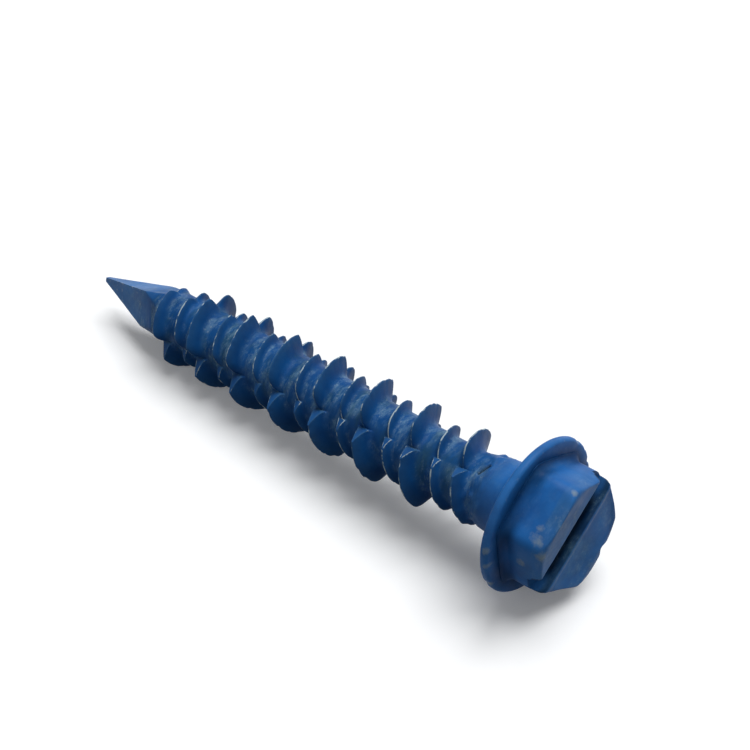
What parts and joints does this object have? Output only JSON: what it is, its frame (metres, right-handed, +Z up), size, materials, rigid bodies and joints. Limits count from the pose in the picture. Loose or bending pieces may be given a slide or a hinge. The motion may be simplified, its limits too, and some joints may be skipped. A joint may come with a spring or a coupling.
{
  "type": "concrete screw",
  "caption": "Blue painted concrete screw with a slotted hexagon washer head, a notched high and low thread and a pinched point, lying on its side.",
  "frame": {"origin": "on the floor, midway along the screw as it lies and under its axis", "axes": "+X along the screw towards its head, +Z up"},
  "size_m": [0.0487, 0.0112, 0.0113],
  "materials": {
    "blue_paint": "satin blue coat, worn pale on the crests"
  },
  "bodies": {
    "root": {"concrete_screw": "blue_paint"}
  },
  "joints": []
}
